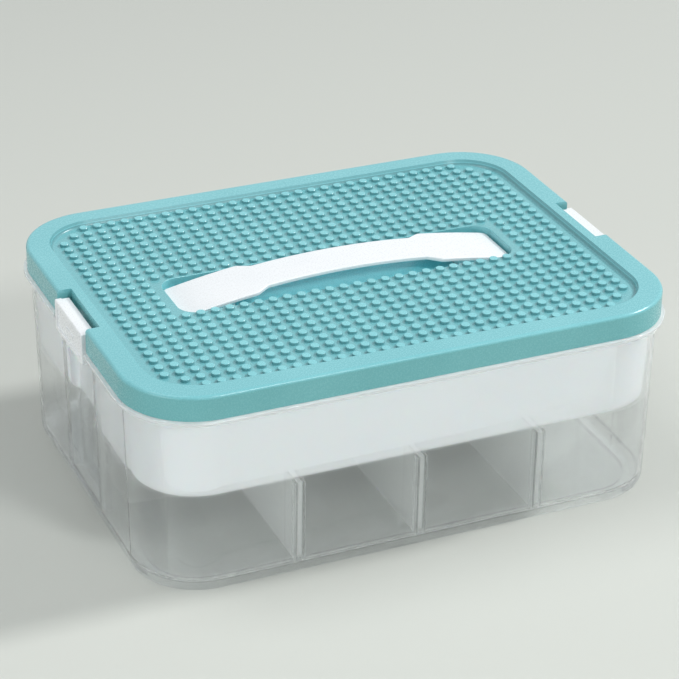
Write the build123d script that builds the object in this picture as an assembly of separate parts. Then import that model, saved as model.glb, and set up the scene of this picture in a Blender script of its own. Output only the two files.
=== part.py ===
from build123d import *
from math import hypot
import os

# Clear box: outer size just under the rim ledge, from where the wall draws in to the floor
wall_length = 296.0
wall_width = 222.0
wall_corner = 38.0
wall_draft = 1.8
base_edge_round = 5.0
box_wall = 2.2
floor_top = 5.2
floor_thickness = 2.4
foot_ring_width = 10.0
cavity_edge_round = 3.5

# Clear box: rim ledge and the lip that stands inside the lid
ledge_top = 101.2
ledge_thickness = 2.0
ledge_reach = 4.0
ledge_edge_round = 0.6
lip_inset = 0.4
lip_height = 5.8

# Clear box: channel down each end and the catch bar that the latch hooks under
channel_depth = 8.1
channel_corner = 2.0
channel_foot = 8.0
channel_side_gap = 0.3
catch_gap = 1.2
catch_overlap = 1.0
catch_edge_round = 0.5

# Dividers and their slots
divider_pitch = 67.5
divider_count = 3
divider_thickness = 2.2
divider_play = 0.3
slot_rib_thickness = 1.6
slot_rib_depth = 3.4
divider_headroom = 0.6
divider_corner_cut = 5.0

# Inner tray
tray_draft = 1.8
tray_base_height = 54.0
tray_top_play = 0.6
tray_wall = 1.9
tray_floor = 2.6
tray_edge_round = 4.0
tray_flange_thickness = 1.8
tray_flange_inset = 0.3
tray_recess_play = 0.8
scallop_place = 49.0
scallop_radius = 3.4
scallop_rise = 1.7
scallop_depth = 1.6

# Lid shell
lid_reach = 2.0
lid_edge_round = 1.8
skirt_height = 13.5
skirt_gap = 0.3
skirt_wall = 2.0
border_thickness = 2.4
border_end_width = 12.75
border_side_width = 12.0
recess_depth = 3.2
recess_draft = 1.6
recess_foot_round = 1.2
plate_thickness = 2.2
recess_wall = 2.0

# Studs on the lid, on the grid that the bricks use
stud_pitch = 8.0
stud_diameter = 4.9
stud_height = 1.7
stud_chamfer = 0.3
stud_end_gap = 3.0
stud_side_gap = 0.8
stud_corner_gap = 1.95
stud_well_gap = 0.4

# Notch at each end of the lid
notch_width = 47.0
notch_wall = 1.4
notch_back_wall = 2.0
notch_lip_gap = 0.4

# Handle well
well_length = 192.0
well_width = 42.0
well_corner = 10.0
well_floor_drop = 6.8
well_wall = 2.0
well_rim_round = 0.5

# Handle strap
crown_rise = 3.0
handle_rise = 10.0
handle_end_gap = 1.0
handle_side_gap = 4.0
handle_thickness = 2.4
pad_length = 42.0
shoulder_length = 7.0
grip_width = 25.0
pad_corner = 3.0
shoulder_round = 4.0
handle_edge_round = 0.8
handle_travel = 8.0

# Handle feet: a boss on the well floor and a pair of snap prongs through it
boss_inset = 18.0
boss_length = 24.0
boss_width = 26.0
boss_gap = 0.3
prong_spread = 9.0
prong_thickness = 2.4
prong_width = 14.0
prong_play = 0.3
barb_reach = 1.2
barb_height = 2.5
barb_lead = 1.0
barb_gap = 0.3

# Latches
latch_side_gap = 1.5
latch_top_step = 3.5
latch_tail = 1.7
latch_proud = 2.1
latch_plate = 3.5
latch_edge_round = 0.8
head_inset = 1.5
head_gap = 1.9
head_thickness = 5.0
pivot_inset = 5.5
pivot_depth = 3.1
pivot_radius = 1.25
pivot_play = 0.06
pivot_end_gap = 0.2
nose_overlap = 2.6
nose_width = 32.0
nose_height = 3.2
nose_gap = 0.3
face_dish_depth = 0.9
face_dish_border = 2.6
face_dish_corner = 1.5
thumb_bar_length = 12.0
thumb_bar_height = 2.4
thumb_bar_rise = 0.5
thumb_bar_drop = 9.5

# One overrun for every cut
overrun = 5.0

# Heights that follow from the sizes above
ledge_under = ledge_top - ledge_thickness
lip_top = ledge_top + lip_height
skirt_bottom = ledge_top + skirt_gap
lid_top = skirt_bottom + skirt_height
plate_top = lid_top - recess_depth
plate_under = plate_top - plate_thickness
border_under = lid_top - border_thickness
well_floor = plate_top - well_floor_drop
well_under = well_floor - well_wall
handle_crown = lid_top + crown_rise
tray_rim = lip_top + tray_flange_thickness
divider_top = tray_base_height - divider_headroom
latch_top = lid_top - latch_top_step
pivot_height = latch_top - pivot_depth
nose_top = ledge_under - nose_gap
nose_bottom = nose_top - nose_height

# Lengths and widths that follow
lid_length = wall_length + 2 * lid_reach
lid_width = wall_width + 2 * lid_reach
lid_corner = wall_corner + lid_reach
recess_length = lid_length - 2 * border_end_width
recess_width = lid_width - 2 * border_side_width
recess_corner = lid_corner - border_side_width
handle_length = well_length - 2 * handle_end_gap
pad_width = well_width - 2 * handle_side_gap
pad_shoulder = handle_length / 2 - pad_length
boss_place = handle_length / 2 - boss_inset
latch_width = notch_width - 2 * latch_side_gap
notch_outer = notch_width + 2 * notch_wall
channel_width = notch_outer + 2 * channel_side_gap

# Places along the right end, outwards from the channel's face
channel_face = wall_length / 2 - channel_depth
notch_back = channel_face + notch_lip_gap
notch_face = notch_back + notch_back_wall
head_reach = notch_face + head_gap
latch_face = lid_length / 2 + latch_proud
plate_back = latch_face - latch_plate
pivot_place = latch_face - pivot_inset
catch_reach = plate_back - catch_gap
nose_reach = catch_reach - nose_overlap
past_end = wall_length / 2 + ledge_reach + overrun


def slab(length, width, corner, bottom, top):
    """An upright slab with rounded corners, centred on the box."""
    return Pos(0, 0, bottom) * extrude(RectangleRounded(length, width, corner), top - bottom)


def tapered(low, high):
    """A rounded block that widens from one outline to the next; each is length, width, corner, height."""
    outlines = [Pos(0, 0, z) * RectangleRounded(*size) for *size, z in (low, high)]
    return loft(outlines, ruled=True)


def grown(outline, by):
    """The same outline moved out by a distance, or in by a negative one."""
    length, width, corner, z = outline
    return length + 2 * by, width + 2 * by, corner + by, z


def between(low, high, z):
    """The outline of a tapered block at a height."""
    share = (z - low[-1]) / (high[-1] - low[-1])
    return tuple(a + (b - a) * share for a, b in zip(low, high))


def block(x0, x1, y0, y1, z0, z1):
    """A plain block between two corners."""
    return Pos((x0 + x1) / 2, (y0 + y1) / 2, (z0 + z1) / 2) * Box(x1 - x0, y1 - y0, z1 - z0)


def end_block(face, reach, width, corner, bottom, top):
    """A block at the right end whose two upright edges on the inside are rounded."""
    shape = block(face, reach, -width / 2, width / 2, bottom, top)
    inner = shape.edges().filter_by(Axis.Z).group_by(Axis.X)[0]
    return fillet(inner, corner)


def both_ends(shape):
    """The right end's shape and its twin at the left end."""
    return [shape, Rot(0, 0, 180) * shape]


def lowest_edges(shape):
    return shape.edges().group_by(Axis.Z)[0]


def highest_edges(shape):
    return shape.edges().group_by(Axis.Z)[-1]


wall_high = (wall_length, wall_width, wall_corner, ledge_under)
wall_low = (*grown(wall_high, -wall_draft)[:3], 0)
lip_outline = grown((wall_length, wall_width, wall_corner, lip_top), -lip_inset)
divider_places = [divider_pitch * (i - (divider_count - 1) / 2) for i in range(divider_count)]


def make_box():
    shell = fillet(lowest_edges(tapered(wall_low, wall_high)), base_edge_round)
    ledge = slab(*grown(wall_high, ledge_reach)[:3], ledge_under, ledge_top)
    ledge = fillet(lowest_edges(ledge) + highest_edges(ledge), ledge_edge_round)
    shell += ledge + slab(*lip_outline[:3], ledge_under, lip_top)
    shell -= both_ends(end_block(channel_face, past_end, channel_width, channel_corner,
                                 channel_foot, lip_top + overrun))

    inside = [grown(between(wall_low, wall_high, z), -box_wall) for z in (floor_top, ledge_under)]
    cavity = fillet(lowest_edges(tapered(*inside)), cavity_edge_round)
    cavity += slab(*grown(lip_outline, -box_wall)[:3], ledge_under, lip_top + overrun)
    cavity -= both_ends(end_block(channel_face - box_wall, past_end, channel_width + 2 * box_wall,
                                  channel_corner + box_wall, 0, lip_top + 2 * overrun))
    shell -= cavity
    shell -= slab(*grown(wall_low, -foot_ring_width)[:3], -overrun, floor_top - floor_thickness)

    bar_end = nose_width / 2 + catch_overlap
    bar = block(channel_face - box_wall / 2, catch_reach, -bar_end, bar_end, ledge_under, ledge_top)
    bar = fillet(bar.edges().filter_by(Axis.Y).group_by(Axis.X)[-1], catch_edge_round)
    shell += both_ends(bar)

    inner_foot = wall_width / 2 - wall_draft - box_wall
    rib_step = (divider_thickness + slot_rib_thickness) / 2 + divider_play
    ribs = []
    for x in divider_places:
        for side in (-1, 1):
            for step in (-rib_step, rib_step):
                near = side * (inner_foot - slot_rib_depth)
                far = side * (inner_foot + box_wall / 2)
                ribs.append(block(x + step - slot_rib_thickness / 2, x + step + slot_rib_thickness / 2,
                                  min(near, far), max(near, far),
                                  floor_top - floor_thickness / 2, divider_top))
    return shell + ribs


def make_divider(place):
    low, high = [between(wall_low, wall_high, z)[1] / 2 - box_wall - divider_play
                 for z in (floor_top, divider_top)]
    cut = divider_corner_cut
    right = [(low - cut, floor_top), (low, floor_top + cut), (high, divider_top)]
    left = [(-y, z) for y, z in reversed(right)]
    face = make_face(Polyline(right + left, close=True))
    return Pos(place, 0, 0) * extrude(Plane.YZ * face, divider_thickness / 2, both=True)


def make_tray():
    high = grown(lip_outline, -box_wall - tray_top_play)
    low = (*grown(high, -tray_draft)[:3], tray_base_height)
    flange = grown(lip_outline, -tray_flange_inset)
    shell = fillet(lowest_edges(tapered(low, high)), tray_edge_round)
    shell += slab(*flange[:3], lip_top, tray_rim)

    end_gap = box_wall + tray_recess_play
    body_face = channel_face - end_gap
    body_width = channel_width + 2 * end_gap
    shell -= both_ends(end_block(channel_face - tray_flange_inset, past_end,
                                 channel_width + 2 * tray_flange_inset, channel_corner,
                                 lip_top, tray_rim + overrun))
    shell -= both_ends(end_block(body_face, past_end, body_width, channel_corner + end_gap,
                                 -overrun, lip_top))

    inside_low = grown(between(low, high, tray_base_height + tray_floor), -tray_wall)
    inside_high = grown(high, -tray_wall)
    cavity = fillet(lowest_edges(tapered(inside_low, inside_high)), tray_edge_round)
    cavity += slab(*inside_high[:3], lip_top, tray_rim + overrun)
    cavity -= both_ends(end_block(body_face - tray_wall, past_end, body_width + 2 * tray_wall,
                                  channel_corner + end_gap + tray_wall, 0, tray_rim + 2 * overrun))
    shell -= cavity

    scallop = Rot(90, 0, 0) * Cylinder(scallop_radius, 2 * scallop_depth)
    scallop_height = tray_base_height + scallop_rise - scallop_radius
    for x in (-scallop_place, scallop_place):
        for side in (-1, 1):
            shell -= Pos(x, side * low[1] / 2, scallop_height) * scallop
    return shell


def stud_row(room):
    """Places of a centred row of studs that fits a room."""
    gaps = int((room - stud_diameter) / stud_pitch)
    return [stud_pitch * (i - gaps / 2) for i in range(gaps + 1)]


def stud_places():
    """Every grid place that clears the recess corners and the handle well."""
    corner_x = recess_length / 2 - recess_corner
    corner_y = recess_width / 2 - recess_corner
    corner_limit = recess_corner - stud_diameter / 2 - stud_corner_gap
    well_x = (well_length + stud_diameter) / 2 + stud_well_gap
    well_y = (well_width + stud_diameter) / 2 + stud_well_gap
    places = []
    for x in stud_row(recess_length - 2 * (recess_draft + stud_end_gap)):
        for y in stud_row(recess_width - 2 * (recess_draft + stud_side_gap)):
            past_x, past_y = abs(x) - corner_x, abs(y) - corner_y
            in_corner = min(past_x, past_y) > 0 and hypot(past_x, past_y) > corner_limit
            in_well = abs(x) < well_x and abs(y) < well_y
            if not in_corner and not in_well:
                places.append((x, y))
    return places


def make_lid():
    outer = (lid_length, lid_width, lid_corner, lid_top)
    well = (well_length, well_width, well_corner, well_floor)
    recess_top = (recess_length, recess_width, recess_corner, lid_top)
    recess_foot = (*grown(recess_top, -recess_draft)[:3], plate_top)
    inside = grown(outer, -skirt_wall)[:3]

    shell = fillet(highest_edges(slab(*outer[:3], skirt_bottom, lid_top)), lid_edge_round)
    shell -= slab(*inside, skirt_bottom - overrun, plate_under)
    groove = slab(*inside, plate_under, border_under)
    groove -= slab(*grown(recess_top, recess_wall)[:3], plate_under, border_under)
    groove -= both_ends(block(recess_length / 2, past_end, -notch_outer / 2, notch_outer / 2,
                              plate_under, border_under))
    shell -= groove
    shell += both_ends(end_block(notch_back, (lid_length - skirt_wall) / 2, notch_outer, channel_corner,
                                 skirt_bottom, border_under))

    recess = fillet(lowest_edges(tapered(recess_foot, recess_top)), recess_foot_round)
    shell -= recess + slab(*recess_top[:3], lid_top, lid_top + overrun)

    shell += slab(*grown(well, well_wall)[:3], well_under, plate_top)
    shell -= slab(*well[:3], well_floor, plate_top + overrun)
    rim = shell.edges().filter_by_position(Axis.Z, plate_top, plate_top)
    rim = [e for e in rim if abs(e.center().X) <= well_length / 2 and abs(e.center().Y) <= well_width / 2]
    shell = fillet(rim, well_rim_round)

    slot = Box(prong_spread + 2 * prong_play, prong_width + 2 * prong_play, well_floor_drop)
    shell -= [Pos(side * boss_place, 0, well_floor) * slot for side in (-1, 1)]
    shell -= both_ends(block(notch_face, past_end, -notch_width / 2, notch_width / 2,
                             skirt_bottom - overrun, lid_top + overrun))
    bore = Rot(90, 0, 0) * Cylinder(pivot_radius + pivot_play, notch_outer)
    shell -= both_ends(Pos(pivot_place, 0, pivot_height) * bore)

    stud_top = plate_top + stud_height
    stud = Pos(0, 0, (stud_top + plate_under) / 2) * Cylinder(stud_diameter / 2, stud_top - plate_under)
    stud = chamfer(highest_edges(stud), stud_chamfer)
    return shell + [Pos(x, y, 0) * stud for x, y in stud_places()]


def make_handle():
    half_length = handle_length / 2
    bend = (half_length ** 2 + handle_rise ** 2) / (2 * handle_rise)
    middle = handle_crown - bend
    band = Pos(0, middle) * (Circle(bend) - Circle(bend - handle_thickness))
    band_room = 2 * (handle_rise + 2 * handle_thickness)
    band &= Pos(0, handle_crown) * Rectangle(handle_length + overrun, band_room)
    strap = extrude(Plane.XZ * band, pad_width / 2, both=True)

    right = [(pad_shoulder - shoulder_length, grip_width / 2), (pad_shoulder, pad_width / 2),
             (half_length, pad_width / 2)]
    upper = [(-x, y) for x, y in reversed(right)] + right
    lower = [(x, -y) for x, y in reversed(upper)]
    outline = make_face(Polyline(upper + lower, close=True))
    outline = fillet([v for v in outline.vertices() if abs(v.X) > pad_shoulder + pad_corner], pad_corner)
    bends = [v for v in outline.vertices() if abs(v.X) <= (pad_shoulder + half_length) / 2 - pad_corner]
    outline = fillet(bends, shoulder_round)
    strap &= Pos(0, 0, well_under) * extrude(outline, handle_crown)
    strap = fillet(strap.edges().filter_by(Axis.Z, reverse=True), handle_edge_round)

    feet = []
    for side in (-1, 1):
        x = side * boss_place
        boss = block(x - boss_length / 2, x + boss_length / 2, -boss_width / 2, boss_width / 2,
                     well_floor + boss_gap, handle_crown)
        ceiling = Pos(0, middle) * Circle(bend - handle_thickness / 2)
        boss &= extrude(Plane.XZ * ceiling, boss_width, both=True)
        feet.append(boss)
        prong_root = well_floor + 2 * boss_gap + prong_play
        barb_top = well_under - barb_gap - handle_travel
        barb_bottom = barb_top - barb_height
        for way in (-1, 1):
            outer = way * prong_spread / 2
            inner = outer - way * prong_thickness
            tip = outer + way * barb_reach
            side_view = Polyline([
                (x + inner, prong_root), (x + outer, prong_root),
                (x + outer, barb_top), (x + tip, barb_top), (x + tip, barb_top - barb_lead),
                (x + outer - way * barb_reach, barb_bottom), (x + inner, barb_bottom)], close=True)
            feet.append(extrude(Plane.XZ * make_face(side_view), prong_width / 2, both=True))
    return strap + feet


def make_latch():
    plate_bottom = nose_bottom - latch_tail
    plate = block(plate_back, latch_face, -latch_width / 2, latch_width / 2, plate_bottom, latch_top)
    plate = fillet(plate.edges().filter_by(Axis.X) + plate.edges().group_by(Axis.X)[-1], latch_edge_round)
    head_side = latch_width / 2 - head_inset
    head = block(head_reach, latch_face - latch_plate / 2, -head_side, head_side,
                 latch_top - head_thickness, latch_top)
    head = fillet(head.edges().filter_by(Axis.Y).group_by(Axis.X)[0], latch_edge_round)
    nose = block(nose_reach, plate_back + latch_plate / 2, -nose_width / 2, nose_width / 2,
                 nose_bottom, nose_top)
    body = plate + head + nose

    border = 2 * face_dish_border
    dish = RectangleRounded(latch_width - border, latch_top - plate_bottom - border, face_dish_corner)
    middle = (latch_top + plate_bottom) / 2
    dish_plane = Plane((latch_face, 0, middle), x_dir=(0, 1, 0), z_dir=(1, 0, 0))
    body -= extrude(dish_plane * dish, -face_dish_depth)
    bar_plane = Plane((latch_face, 0, latch_top - thumb_bar_drop), x_dir=(0, 1, 0), z_dir=(1, 0, 0))
    bar = SlotOverall(thumb_bar_length, thumb_bar_height)
    body += extrude(bar_plane * bar, -(face_dish_depth + latch_plate / 4))
    body -= extrude(bar_plane * bar, -(face_dish_depth - thumb_bar_rise))

    stub_end = notch_outer / 2 - pivot_end_gap
    return body + Pos(pivot_place, 0, pivot_height) * Rot(90, 0, 0) * Cylinder(pivot_radius, 2 * stub_end)


latch = make_latch()
nodes = {
    "box": make_box(),
    "inner_tray": make_tray(),
    "lid": make_lid(),
    "handle": make_handle(),
    "latch_right": latch,
    "latch_left": Rot(0, 0, 180) * latch,
}
for name, place in zip(("divider_left", "divider_middle", "divider_right"), divider_places):
    nodes[name] = make_divider(place)

os.makedirs("parts", exist_ok=True)
for name, shape in nodes.items():
    export_step(shape, "parts/" + name + ".step")
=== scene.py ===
import math

import bpy
from mathutils import Matrix, Vector


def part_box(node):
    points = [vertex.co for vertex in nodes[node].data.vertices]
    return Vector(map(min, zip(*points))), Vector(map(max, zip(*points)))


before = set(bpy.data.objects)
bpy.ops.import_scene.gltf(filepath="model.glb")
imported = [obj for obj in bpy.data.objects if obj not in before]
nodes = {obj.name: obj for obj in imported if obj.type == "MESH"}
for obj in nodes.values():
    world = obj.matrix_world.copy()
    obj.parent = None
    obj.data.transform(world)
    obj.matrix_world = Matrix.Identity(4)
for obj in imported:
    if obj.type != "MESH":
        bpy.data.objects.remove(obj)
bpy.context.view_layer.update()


# Camera
# A long lens looks down on the box from beyond its front left corner, tilted by less than a degree.
# The lid's studs gave its place, its turn and its focal length.
eye = Vector((-0.4736, -1.0826, 0.6887))
look_turn = math.radians(23.65)
look_down = math.radians(27.71)
camera_roll = math.radians(0.67)
sensor_width = 36.0
lens_length = 130.3
nearest_seen = 0.05
farthest_seen = 20.0

camera_data = bpy.data.cameras.new("camera")
camera_data.sensor_width = sensor_width
camera_data.lens = lens_length
camera_data.clip_start = nearest_seen
camera_data.clip_end = farthest_seen
camera = bpy.data.objects.new("camera", camera_data)
bpy.context.scene.collection.objects.link(camera)
toward = Vector((math.sin(look_turn) * math.cos(look_down),
                 math.cos(look_turn) * math.cos(look_down),
                 -math.sin(look_down)))
upright = toward.to_track_quat("-Z", "Y").to_matrix().to_4x4()
lens_axis = upright.to_3x3().col[2]
camera.matrix_world = Matrix.Translation(eye) @ Matrix.Rotation(camera_roll, 4, lens_axis) @ upright
bpy.context.scene.camera = camera

view = bpy.context.scene.view_settings
view.view_transform = "Standard"


# Clear box
# The lower shell is one injection moulding of clear hard plastic, faintly tinted where it is seen edge on.
# Its thicker rim looks milky. The tray hangs on the rim's lip and the lid rests on its ledge.
clear_tint = (0.978, 0.988, 0.990, 1.0)
clear_shadow = (0.974, 0.981, 0.984, 1.0)
clear_share = 0.22
clear_index = 1.49
clear_polish = (0.035, 0.09)
clear_scuffs = (0.004, 4, 0.6)
wall_passes = 0.95
rim_passes = 0.45
rim_height = 0.0080
rim_blend = 0.0006
rim_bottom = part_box("box")[1].z - rim_height
wall_waves = (0.055, 1, 0.4)
wall_wave_height = 0.0004
noise_middle = (0.35, 0.65)


def new_finish(name, settings):
    """Returns a material with one Principled shader and fixed settings, its nodes and that shader."""
    material = bpy.data.materials.new(name)
    material.use_nodes = True
    tree = material.node_tree
    shader = tree.nodes["Principled BSDF"]
    for socket, value in settings.items():
        shader.inputs[socket].default_value = value
    return material, tree, shader


def feed(tree, socket, value):
    """Gives a socket what another socket puts out, or a fixed value."""
    if isinstance(value, bpy.types.NodeSocket):
        tree.links.new(value, socket)
    else:
        socket.default_value = value


def ranged(tree, value, low, high, first, last):
    """Stretches values between low and high to values between first and last."""
    stretch = tree.nodes.new("ShaderNodeMapRange")
    feed(tree, stretch.inputs["Value"], value)
    feed(tree, stretch.inputs["From Min"], low)
    feed(tree, stretch.inputs["From Max"], high)
    feed(tree, stretch.inputs["To Min"], first)
    feed(tree, stretch.inputs["To Max"], last)
    return stretch.outputs["Result"]


def place_in_box(tree):
    """The place on the surface in the box's own frame, in metres."""
    return tree.nodes.new("ShaderNodeTexCoord").outputs["Object"]


def place_along(tree, axis):
    """The place along X, Y or Z in the box's own frame, in metres."""
    split = tree.nodes.new("ShaderNodeSeparateXYZ")
    feed(tree, split.inputs["Vector"], place_in_box(tree))
    return split.outputs[axis]


def noise(tree, pattern):
    """Solid noise; a pattern is the width of its blotches, its octaves and the finer ones' strength."""
    width, octaves, fine_share = pattern
    texture = tree.nodes.new("ShaderNodeTexNoise")
    feed(tree, texture.inputs["Vector"], place_in_box(tree))
    feed(tree, texture.inputs["Scale"], 1 / width)
    feed(tree, texture.inputs["Detail"], octaves)
    feed(tree, texture.inputs["Roughness"], fine_share)
    return texture.outputs["Fac"]


def bumped(tree, height, depth):
    """A bump normal from a height between 0 and 1, that many metres deep."""
    bump = tree.nodes.new("ShaderNodeBump")
    feed(tree, bump.inputs["Height"], height)
    feed(tree, bump.inputs["Distance"], depth)
    return bump.outputs["Normal"]


def mixed_shaders(tree, share, first, second):
    """Shows the first shader, and the second by a share."""
    mix = tree.nodes.new("ShaderNodeMixShader")
    feed(tree, mix.inputs["Fac"], share)
    feed(tree, mix.inputs[1], first)
    feed(tree, mix.inputs[2], second)
    return mix.outputs["Shader"]


def lets_light_through(tree, shader, shade, share):
    """Lets lamp light and light from lit surfaces straight through the plastic, and a share of the view."""
    rays = tree.nodes.new("ShaderNodeLightPath")
    straight = tree.nodes.new("ShaderNodeBsdfTransparent")
    feed(tree, straight.inputs["Color"], shade)
    surface = mixed_shaders(tree, share, shader.outputs["BSDF"], straight.outputs["BSDF"])
    for kind in ("Is Shadow Ray", "Is Diffuse Ray"):
        surface = mixed_shaders(tree, rays.outputs[kind], surface, straight.outputs["BSDF"])
    feed(tree, tree.nodes["Material Output"].inputs["Surface"], surface)


def give_finish(node, material):
    """Gives a piece its finish in place of the plain one."""
    nodes[node].data.materials.clear()
    nodes[node].data.materials.append(material)


clear_plastic, tree, shader = new_finish("clear_plastic", {"Base Color": clear_tint, "IOR": clear_index})
passes = ranged(tree, place_along(tree, "Z"), rim_bottom - rim_blend, rim_bottom, wall_passes, rim_passes)
feed(tree, shader.inputs["Transmission Weight"], passes)
feed(tree, shader.inputs["Normal"], bumped(tree, noise(tree, wall_waves), wall_wave_height))
scuffs = noise(tree, clear_scuffs)
feed(tree, shader.inputs["Roughness"], ranged(tree, scuffs, *noise_middle, *clear_polish))
lets_light_through(tree, shader, clear_shadow, clear_share)
give_finish("box", clear_plastic)


# Cross dividers
# Three flat plates of frosted plastic with a fine grain on both faces. Nothing fixes them: each is dropped
# between two pairs of ribs that are moulded on the front and back walls of the box.
frost_tint = (0.88, 0.90, 0.89, 1.0)
frost_pale = (0.93, 0.94, 0.93, 1.0)
frost_shadow = (0.80, 0.82, 0.81, 1.0)
frost_passes = 0.65
frost_index = 1.45
frost_drift = (0.03, 2, 0.5)
frost_grain = (0.0006, 2, 0.5)
frost_polish = (0.34, 0.46)
frost_grain_depth = 0.00003
frost_share = 0


def two_tone(tree, pattern, tint, pale):
    """A colour that drifts between two tints."""
    blend = tree.nodes.new("ShaderNodeMix")
    blend.data_type = "RGBA"
    feed(tree, blend.inputs[0], ranged(tree, noise(tree, pattern), *noise_middle, 0, 1))
    feed(tree, blend.inputs[6], tint)
    feed(tree, blend.inputs[7], pale)
    return blend.outputs[2]


def moulded_grain(tree, shader, pattern, polish, depth):
    """The mould's fine grain, in the gloss between two values of polish and in a bump of that depth."""
    grain = noise(tree, pattern)
    feed(tree, shader.inputs["Roughness"], ranged(tree, grain, *noise_middle, *polish))
    feed(tree, shader.inputs["Normal"], bumped(tree, grain, depth))


frost_settings = {"Transmission Weight": frost_passes, "IOR": frost_index}
frosted, tree, shader = new_finish("frosted_plastic", frost_settings)
feed(tree, shader.inputs["Base Color"], two_tone(tree, frost_drift, frost_tint, frost_pale))
moulded_grain(tree, shader, frost_grain, frost_polish, frost_grain_depth)
lets_light_through(tree, shader, frost_shadow, frost_share)
for side in ("left", "middle", "right"):
    give_finish("divider_" + side, frosted)


# Inner tray
# An open tray, moulded thin in white plastic with a satin finish. Its flange rests on the lip of the box,
# and its ends are set in where the end channels pass.
tray_white = (0.93, 0.95, 0.98, 1.0)
tray_pale = (0.95, 0.965, 0.985, 1.0)
tray_drift = (0.06, 2, 0.5)
tray_grain = (0.0008, 3, 0.55)
tray_polish = (0.36, 0.5)
tray_grain_depth = 0.00002
tray_glow = 0.15
tray_glow_depth = 0.004

tray_settings = {"Subsurface Weight": tray_glow, "Subsurface Scale": tray_glow_depth}
tray_plastic, tree, shader = new_finish("tray_plastic", tray_settings)
feed(tree, shader.inputs["Base Color"], two_tone(tree, tray_drift, tray_white, tray_pale))
moulded_grain(tree, shader, tray_grain, tray_polish, tray_grain_depth)
give_finish("inner_tray", tray_plastic)


# Studded lid
# One blue-green moulding that rests on the ledge of the box and is held by the two end latches. Painted
# shade makes the plate, the stud sides, the recess walls and the skirt darker than the border, and painted
# light makes the stud tops and the well's floor paler.
lid_tint = (0.192, 0.530, 0.572, 1.0)
lid_pale = (0.212, 0.560, 0.602, 1.0)
lid_drift = (0.05, 2, 0.5)
lid_grain = (0.0007, 3, 0.55)
lid_polish = (0.22, 0.31)
lid_grain_depth = 0.00002
lid_reach_x, lid_reach_y, lid_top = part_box("lid")[1]
recess_depth = 0.0032
border_end_width = 0.01275
border_side_width = 0.01198
recess_reach = {"X": lid_reach_x - border_end_width, "Y": lid_reach_y - border_side_width}
plate_height = lid_top - recess_depth
stud_height = 0.0017
# Painted shade on the skirt below the border, a touch greener than grey.
painted_skirt_shade = (0.86, 0.89, 0.86, 1.0)
skirt_drop = 0.0022
border_edge_drop = 0.0008
lowest_tone = -5
highest_tone = 3
plain_tone = 1.0
# Painted light that makes the well's floor paler.
painted_well_floor_light = 1.6
# Painted shade on the plate between the studs.
painted_plate_shade = 0.88
# Painted shade on the sides of the studs.
painted_stud_side_shade = 0.70
# Painted highlight on the stud tops.
painted_stud_top_highlight = 1.12
# Painted shade on the walls of the recess.
painted_recess_wall_shade = 0.78
# Each pair is a height over the plate, counted in stud heights, and the tone that painted light and shade
# give the plastic there.
painted_tones_by_height = (
    (-4.2, painted_well_floor_light), (-3.8, painted_well_floor_light), (-3.6, plain_tone), (-0.05, plain_tone),
    (-0.02, painted_plate_shade), (0.03, painted_plate_shade), (0.10, painted_stud_side_shade), (0.85, painted_stud_side_shade),
    (0.96, painted_stud_top_highlight), (1.05, painted_stud_top_highlight), (1.10, painted_recess_wall_shade), (1.79, painted_recess_wall_shade),
    (1.86, plain_tone),
)


def arithmetic(tree, operation, *values):
    """One sum over outputs and fixed numbers."""
    step = tree.nodes.new("ShaderNodeMath")
    step.operation = operation
    for socket, value in zip(step.inputs, values):
        feed(tree, socket, value)
    return step.outputs["Value"]


def inside_recess(tree):
    """One over the studs' recess and nought outside it."""
    sides = []
    for axis, reach in recess_reach.items():
        span = arithmetic(tree, "ABSOLUTE", place_along(tree, axis))
        sides.append(arithmetic(tree, "LESS_THAN", span, reach))
    return arithmetic(tree, "MULTIPLY", *sides)


def grey(tone):
    """A grey that is that light."""
    return (tone, tone, tone, 1.0)


def painted_light_by_height(tree):
    """Painted light and shade by height, from the well's floor up to the border."""
    lowest = plate_height + lowest_tone * stud_height
    highest = plate_height + highest_tone * stud_height
    ramp = tree.nodes.new("ShaderNodeValToRGB")
    stops = ramp.color_ramp.elements
    for height, tone in painted_tones_by_height:
        stop = stops.new((height - lowest_tone) / (highest_tone - lowest_tone))
        stop.color = grey(tone)
    for end in (stops[0], stops[-1]):
        end.color = grey(plain_tone)
    feed(tree, ramp.inputs["Fac"], ranged(tree, place_along(tree, "Z"), lowest, highest, 0, 1))
    return ramp.outputs["Color"]


def toned(tree, colour, tone, share):
    """Multiplies a colour by a tone where share is one."""
    blend = tree.nodes.new("ShaderNodeMix")
    blend.data_type = "RGBA"
    blend.blend_type = "MULTIPLY"
    feed(tree, blend.inputs[0], share)
    feed(tree, blend.inputs[6], colour)
    feed(tree, blend.inputs[7], tone)
    return blend.outputs[2]


lid_plastic, tree, shader = new_finish("lid_plastic", {})
recess = inside_recess(tree)
around_recess = arithmetic(tree, "SUBTRACT", 1, recess)
# The skirt below the border, outside the recess, gets the painted shade.
below_border = ranged(tree, place_along(tree, "Z"), lid_top - skirt_drop, lid_top - border_edge_drop, 1, 0)
skirt = arithmetic(tree, "MULTIPLY", below_border, around_recess)
colour = two_tone(tree, lid_drift, lid_tint, lid_pale)
# Painted light and shade over the studs' recess.
colour = toned(tree, colour, painted_light_by_height(tree), recess)
colour = toned(tree, colour, painted_skirt_shade, skirt)
feed(tree, shader.inputs["Base Color"], colour)
moulded_grain(tree, shader, lid_grain, lid_polish, lid_grain_depth)
give_finish("lid", lid_plastic)


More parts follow.
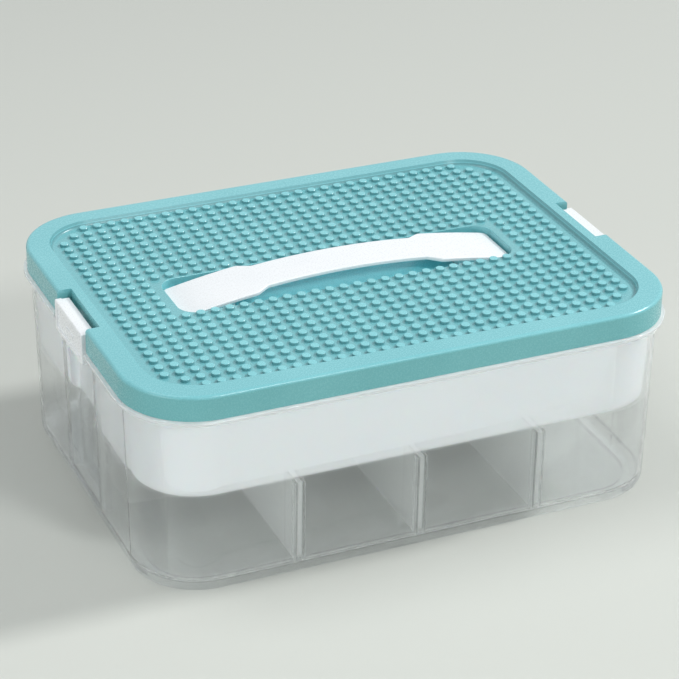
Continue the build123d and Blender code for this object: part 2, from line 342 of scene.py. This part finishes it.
# Strap handle and end latches
# All three are mouldings of one smooth white plastic, glossier than the tray. The handle is a flexible strap
# with snap feet through the floor of its well, and the latches turn on stubs in the lid's end notches.
gloss_white = (0.86, 0.89, 0.91, 1.0)
gloss_pale = (0.89, 0.915, 0.93, 1.0)
gloss_drift = (0.04, 2, 0.5)
gloss_grain = (0.0009, 3, 0.55)
gloss_polish = (0.24, 0.34)
gloss_grain_depth = 0.000004

white_plastic, tree, shader = new_finish("white_plastic", {})
feed(tree, shader.inputs["Base Color"], two_tone(tree, gloss_drift, gloss_white, gloss_pale))
moulded_grain(tree, shader, gloss_grain, gloss_polish, gloss_grain_depth)
for node in ("handle", "latch_left", "latch_right"):
    give_finish(node, white_plastic)


# Floor and backdrop
# One wide sheet of plain pale matt paper lies under the box and fills the whole view behind it. Its tooth
# is too fine to see from here.
floor_tint = (0.635, 0.655, 0.61, 1.0)
floor_reach = 6.0
paper_roughness = 0.7
paper_tooth = (0.002, 2, 0.5)
paper_tooth_depth = 0.00002

bpy.ops.mesh.primitive_plane_add(size=floor_reach, location=(0, 0, 0))
floor = bpy.context.object
floor.name = "floor"
paper, tree, shader = new_finish("floor_paper", {"Base Color": floor_tint, "Roughness": paper_roughness})
feed(tree, shader.inputs["Normal"], bumped(tree, noise(tree, paper_tooth), paper_tooth_depth))
floor.data.materials.append(paper)


# Lights
# A soft key stands high on the right, opposite the photograph's shadow, with weak lamps overhead, in front
# and low on the left. The air round them is dim, but shows bright in glossy and clear plastic.
lamp_aim = Vector((0, 0, 0.08))
lamps = {
    "key": {"place": (2.60, -0.25, 2.45), "size": (0.50, 0.50), "power": 67},
    "overhead": {"place": (-0.60, 0.20, 1.60), "size": (0.9, 0.9), "power": 8},
    "front": {"place": (0.45, -1.55, 1.40), "size": (0.36, 0.36), "power": 13},
    "low_left": {"place": (-1.90, -0.90, 0.32), "size": (1.2, 0.4), "power": 10},
}
air_tint = (0.93, 0.97, 1.0, 1.0)
air_lights = 0.26
air_shows = 0.95


def softbox(name, place, size, power):
    """A rectangular lamp at a place, turned to the middle of the box."""
    lamp_data = bpy.data.lights.new(name, "AREA")
    lamp_data.shape = "RECTANGLE"
    lamp_data.size, lamp_data.size_y = size
    lamp_data.energy = power
    lamp = bpy.data.objects.new(name, lamp_data)
    bpy.context.scene.collection.objects.link(lamp)
    lamp.location = place
    lamp.rotation_euler = (lamp_aim - Vector(place)).to_track_quat("-Z", "Y").to_euler()


for name, lamp in lamps.items():
    softbox(name, **lamp)

studio = bpy.data.worlds.new("studio")
studio.use_nodes = True
air = studio.node_tree
backdrop = air.nodes["Background"]
ray = air.nodes.new("ShaderNodeLightPath")
in_plastic = arithmetic(air, "MAXIMUM", ray.outputs["Is Glossy Ray"], ray.outputs["Is Transmission Ray"])
seen = arithmetic(air, "MAXIMUM", in_plastic, ray.outputs["Is Camera Ray"])
feed(air, backdrop.inputs["Color"], air_tint)
feed(air, backdrop.inputs["Strength"], ranged(air, seen, 0, 1, air_lights, air_shows))
bpy.context.scene.world = studio
